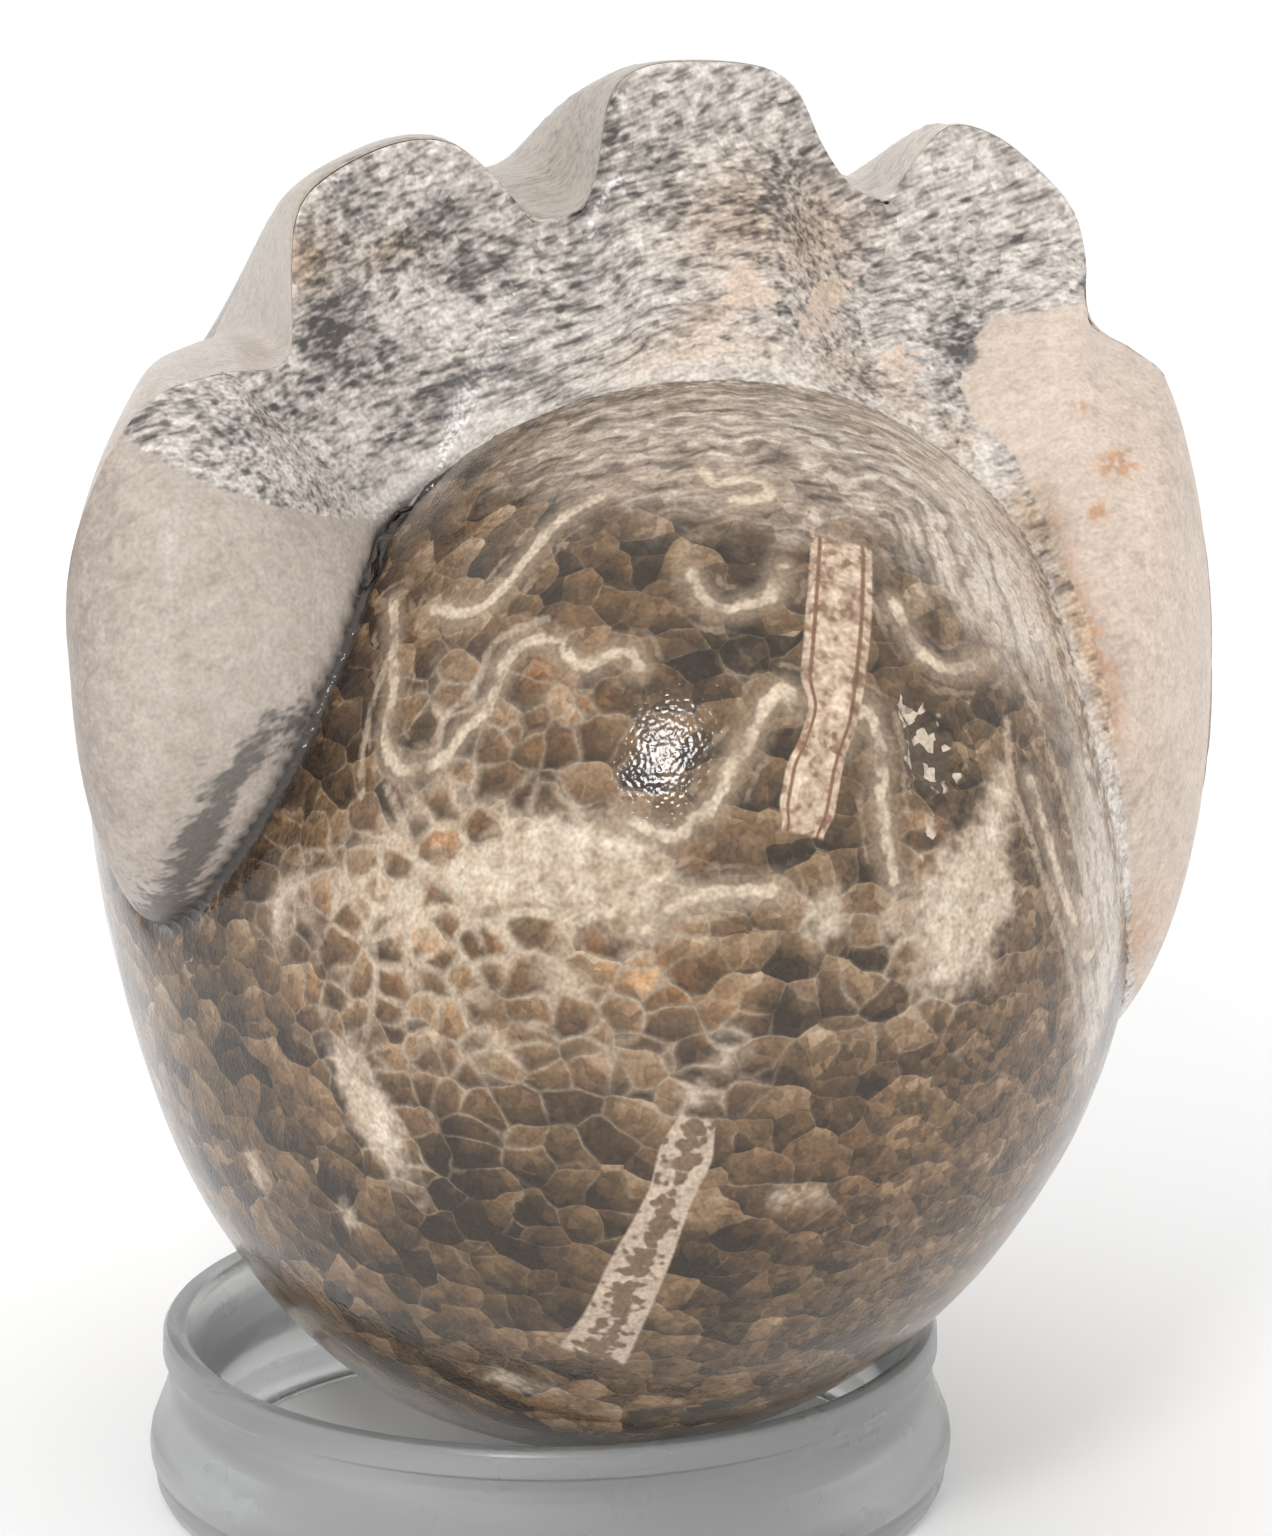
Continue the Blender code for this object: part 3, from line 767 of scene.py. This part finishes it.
# A darker band on the whorl just under the seam, broken into flecks: painted shade in the valley where the
# face meets the whorl.
seam_valley_shade = stone.product(stone.step(stone.mark("seam"), -4.5, -0.8), stone.step(jitter, 0.4, 0.6))
crystal = stone.mix(seam_valley_shade, crystal, (0.42, 0.36, 0.31), "MULTIPLY")
suture_mark = stone.total(-0.75, (stone.mark("suture"), 1.0), (jitter, 0.9), (drift_b, 0.6))
suture_halo = stone.product(stone.step(suture_mark, 2.0, 0.5), 0.65)
crystal = stone.mix(suture_halo, crystal, (0.29, 0.215, 0.15))
twin = stone.step(stone.maths("ABSOLUTE", stone.maths("SUBTRACT", suture_mark, 1.9)), 0.35, 0.1)
twin = stone.product(twin, stone.total(-0.15, (stone.step(drift_c, 0.42, 0.62), 0.6)), clamp=True)
crystal = stone.mix(twin, crystal, (0.38, 0.29, 0.205))
suture_core = stone.product(stone.step(suture_mark, 0.62, 0.22), stone.step(drift_a, 0.28, 0.56))
crystal = stone.mix(suture_core, crystal, (0.55, 0.445, 0.33))
trace_mark = stone.total(-0.2, (stone.mark("trace"), 1.0), (jitter, 0.7))
trace_share = stone.product(stone.step(trace_mark, 0.7, 0.25), 0.6)
crystal = stone.mix(trace_share, crystal, (0.48, 0.385, 0.29))

# %% Siphuncle
upper_side_mark = stone.maths("ABSOLUTE", stone.mark("upper_side"))
in_upper = stone.product(stone.step(upper_side_mark, 1.04, 0.94),
                         stone.step(stone.mark("upper_end"), 0.7, 0.2))
strip_tone = stone.ramp(stone.total(0.05, (jitter, 0.7), (small_tone, 0.12)), (0.34, (0.25, 0.15, 0.095)),
                        (0.46, (0.46, 0.335, 0.24)), (0.66, (0.60, 0.48, 0.375)))
hairpin = stone.maths("ABSOLUTE", stone.maths("SUBTRACT", upper_side_mark, 0.70))
strip_tone = stone.mix(stone.step(hairpin, 0.10, 0.03), strip_tone, (0.20, 0.105, 0.06))
crystal = stone.mix(in_upper, crystal, strip_tone)
lower_side_mark = stone.maths("ABSOLUTE", stone.mark("lower_side"))
in_lower = stone.product(stone.step(lower_side_mark, 1.04, 0.9),
                         stone.step(stone.mark("lower_end"), 0.9, 0.1))
ladder = stone.total(-0.45, (small_cells.outputs["Distance"], 0.50), (lower_side_mark, 0.48), (jitter, 1.0))
ladder_tone = stone.mix(stone.step(ladder, 0.42, 0.64), (0.17, 0.11, 0.068), (0.47, 0.37, 0.28))
crystal = stone.mix(in_lower, crystal, ladder_tone)

# %% Chamber wall and horns
wall_value = stone.total(-0.050, (grain, 0.86), (small_tone, 0.10), (drift_a, 0.26),
                         (stone.mark("wall_shade"), 1.0))
wall_tone = stone.ramp(wall_value, (0.28, (0.075, 0.066, 0.060)), (0.42, (0.235, 0.208, 0.188)),
                       (0.53, (0.42, 0.378, 0.34)), (0.72, (0.63, 0.58, 0.53)))
wall_rust = stone.product(stone.mark("rust"), 0.9, clamp=True)
wall_tone = stone.mix(wall_rust, wall_tone, (0.85, 0.66, 0.50), "MULTIPLY")
peach_value = stone.total(-1.05, (stone.mark("peach"), 0.9), (jitter, 1.5), (drift_b, 0.8))
wall_tone = stone.mix(stone.step(peach_value, 0.45, 0.75), wall_tone, (0.56, 0.44, 0.35))
matrix_mark = stone.total(-0.3, (stone.mark("matrix"), 1.0), (jitter, 0.6))
# The left horn gets a darker colour than the right one: painted shade, the left side lying in shade as if lit
# from the right.
shaded_left_side = stone.step(stone.mark("across"), 10, -10)
horn_tone = stone.mix(shaded_left_side, (0.57, 0.465, 0.385), (0.425, 0.36, 0.31))
# The horns' brightness: grain and cloud, with the painted light near the left seam and the painted shade at
# the far left edge.
horn_value = stone.total(0.25, (drift_a, 0.35), (jitter, 0.30), (grain, 0.4), (stone.mark("horn_cloud_light_and_shade"), 1.0))
horn_light = stone.ramp(horn_value, (0.5, (0.72, 0.70, 0.69)), (0.75, (1.0, 1.0, 1.0)),
                        (1.0, (1.16, 1.18, 1.21)))
horn_tone = stone.mix(1.0, horn_tone, horn_light, "MULTIPLY")
rust_share = stone.product(stone.mark("rust"), stone.step(jitter, 0.3, 0.62), clamp=True)
horn_tone = stone.mix(rust_share, horn_tone, (0.80, 0.58, 0.43), "MULTIPLY")
grey_value = stone.total(-1.25, (stone.mark("grey"), 0.55), (jitter, 0.6), (grain, 0.9), (drift_b, 0.7))
grey_streak = stone.step(grey_value, 0.05, 0.5)
horn_tone = stone.mix(grey_streak, horn_tone, (0.15, 0.133, 0.12))
colour = stone.mix(on_wall, crystal, wall_tone)
on_horn = stone.step(matrix_mark, -0.1, 0.15)
# Behind the rim the left is darker again: painted shade on the left side.
behind_tone = stone.mix(shaded_left_side, (0.88, 0.86, 0.82), (0.70, 0.66, 0.60))
far_side = stone.step(stone.maths("ABSOLUTE", stone.mark("across")), 38, 52)
behind = stone.mix(1.0, stone.mix(0.65, horn_tone, wall_tone), behind_tone, "MULTIPLY")
horn_tone = stone.mix(stone.maths("MAXIMUM", stone.mark("wall"), far_side), behind, horn_tone)
colour = stone.mix(on_horn, colour, horn_tone)
in_vug = stone.step(stone.total(-0.5, (stone.mark("vug"), 1.0), (jitter, 1.0)), 0.35, 0.6)
glints = stone.step(small_tone, 0.55, 0.72)
colour = stone.mix(in_vug, colour, stone.mix(glints, (0.085, 0.056, 0.034), (0.52, 0.43, 0.34)))
# Near-black along the left crack: painted shade in the groove between horn and whorl.
colour = stone.mix(stone.product(stone.mark("crack_shade"), 1.3, clamp=True), colour, (0.05, 0.042, 0.036))

# %% Gloss and fine bumps
fine = stone.noise(mm, 0.34, 0.0)
specks = stone.total(0.44, (fine, 0.7), (small_tone, 0.22), (jitter, 0.2))
colour = stone.mix(stone.total(1.0, (on_horn, -0.5)), colour, specks, "MULTIPLY")
bumps = stone.bump(fine, 0.000045, 0.8)
roughness = stone.total(0.04, (drift_c, 0.18), (on_wall, 0.14), (on_horn, 0.16))
stone.feed(stone.shader.inputs["Base Color"], colour)
stone.feed(stone.shader.inputs["Roughness"], roughness)
stone.feed(stone.shader.inputs["Normal"], bumps)
stone.shader.inputs["IOR"].default_value = 1.5
stone.material.diffuse_color = (0.42, 0.33, 0.26, 1)
fossil_mesh.materials.append(stone.material)
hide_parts("ammonite")
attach(fossil, "root")
print("Stone:", len(stone.tree.nodes), "nodes")

# %% [markdown]
# ## The ring stand
#
# The stand is a moulded ring, open through the middle: a collar at the top, a waist, and a
# flared foot. Its outline is one closed loop of points, spun about the upright. The collar's
# corners are rounded by a small bevel.

# %% Spin the ring
RING_AT = (-7.55, -2.90, 0.0)
RING_OUTLINE = (
    (30.4, 13.8), (31.25, 13.75), (31.6, 13.3), (31.65, 11.6), (31.35, 11.35), (31.15, 10.4),
    (31.2, 9.4), (31.6, 7.8), (32.2, 6.3), (32.7, 5.0), (32.85, 4.0), (32.75, 3.0), (32.35, 2.75),
    (32.45, 2.2), (32.35, 1.1), (31.9, 0.3), (31.3, 0.0), (28.6, 0.0), (28.25, 0.4), (28.2, 2.0),
    (28.2, 9.0), (28.45, 10.4), (29.4, 13.2), (29.8, 13.65),
)
RING_STEPS = 192
ring_grid = bmesh.new()
corners = [ring_grid.verts.new((radius * MM, 0, height * MM)) for radius, height in RING_OUTLINE]
outline = [ring_grid.edges.new(pair) for pair in zip(corners, corners[1:] + corners[:1])]
bmesh.ops.bevel(ring_grid, geom=corners, offset=0.00012, segments=2, profile=0.5,
                affect="VERTICES", material=-1)
bmesh.ops.spin(ring_grid, geom=ring_grid.verts[:] + ring_grid.edges[:], cent=(0, 0, 0),
               axis=(0, 0, 1), angle=math.tau, steps=RING_STEPS, use_merge=True)
bmesh.ops.remove_doubles(ring_grid, verts=ring_grid.verts, dist=1e-6)
bmesh.ops.recalc_face_normals(ring_grid, faces=ring_grid.faces)
bmesh.ops.translate(ring_grid, vec=Vector(RING_AT) * MM, verts=ring_grid.verts)
ring_mesh = bpy.data.meshes.new("ring_stand")
ring_grid.to_mesh(ring_mesh)
ring_grid.free()
ring_mesh.shade_smooth()
ring = bpy.data.objects.new("ring_stand", ring_mesh)
bpy.context.scene.collection.objects.link(ring)
print("Ring:", len(ring_mesh.polygons), "faces")

# %% Clear plastic
plastic = Finish("clear_plastic")
ring_mm = plastic.millimetres()
haze = plastic.noise(ring_mm, 6.0, 1.0)
plastic_roughness = plastic.total(0.22, (haze, 0.14))
upright = plastic.add("ShaderNodeMapping", {"Vector": ring_mm, "Scale": (1, 1, 0.08)})
plastic_bump = plastic.bump(plastic.noise(upright, 0.8, 1.0), 0.00003, 0.3)
plastic.shader.inputs["Base Color"].default_value = (0.74, 0.76, 0.755, 1)
plastic.shader.inputs["Transmission Weight"].default_value = 0.84
plastic.shader.inputs["IOR"].default_value = 1.49
plastic.feed(plastic.shader.inputs["Roughness"], plastic_roughness)
plastic.feed(plastic.shader.inputs["Normal"], plastic_bump)
ring_mesh.materials.append(plastic.material)
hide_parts("display_ring")
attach(ring, "root")

# %% [markdown]
# ## Floor, light and camera
#
# The stage is plain: a pale floor, even light from all round, and one soft lamp high in front, a
# little to the left. The camera looks slightly down at the lobed end, from the photo's side.

# %% Floor
floor_grid = bmesh.new()
bmesh.ops.create_grid(floor_grid, x_segments=1, y_segments=1, size=6.0)
floor_mesh = bpy.data.meshes.new("floor")
floor_grid.to_mesh(floor_mesh)
floor_grid.free()
floor = bpy.data.objects.new("floor", floor_mesh)
bpy.context.scene.collection.objects.link(floor)
paper = Finish("pale_floor")
paper.shader.inputs["Base Color"].default_value = (0.96, 0.96, 0.96, 1)
paper.shader.inputs["Roughness"].default_value = 0.9
paper.shader.inputs["Specular IOR Level"].default_value = 0.0
floor_mesh.materials.append(paper.material)

# %% Light
scene = bpy.context.scene
scene.view_settings.view_transform = "Standard"
world = bpy.data.worlds.new("white_room")
scene.world = world
world.use_nodes = True
world.node_tree.nodes["Background"].inputs["Color"].default_value = (1, 1, 1, 1)
world.node_tree.nodes["Background"].inputs["Strength"].default_value = 1.05
LOOK_AT = Vector((-0.55, -5.6, 60.5)) * MM


def lamp(name, direction, distance, size, power):
    """A square soft lamp that faces the object from a direction."""
    light = bpy.data.lights.new(name, "AREA")
    light.size = size
    light.energy = power
    item = bpy.data.objects.new(name, light)
    scene.collection.objects.link(item)
    direction = Vector(direction).normalized()
    item.location = LOOK_AT + direction * distance
    item.rotation_euler = (-direction).to_track_quat("-Z", "Y").to_euler()


lamp("key_lamp", (-0.178, -0.753, 0.634), 0.7, 0.13, 1.4)

# %% Camera
CAMERA_TILT = 14.0
CAMERA_DISTANCE = 0.450
camera_data = bpy.data.cameras.new("camera")
camera_data.lens = 132.9
camera_data.sensor_width = 36.0
camera = bpy.data.objects.new("camera", camera_data)
scene.collection.objects.link(camera)
tilt = math.radians(CAMERA_TILT)
forward = Vector((0, math.cos(tilt), -math.sin(tilt)))
camera.location = LOOK_AT - forward * CAMERA_DISTANCE
camera.rotation_euler = forward.to_track_quat("-Z", "Y").to_euler()
scene.camera = camera
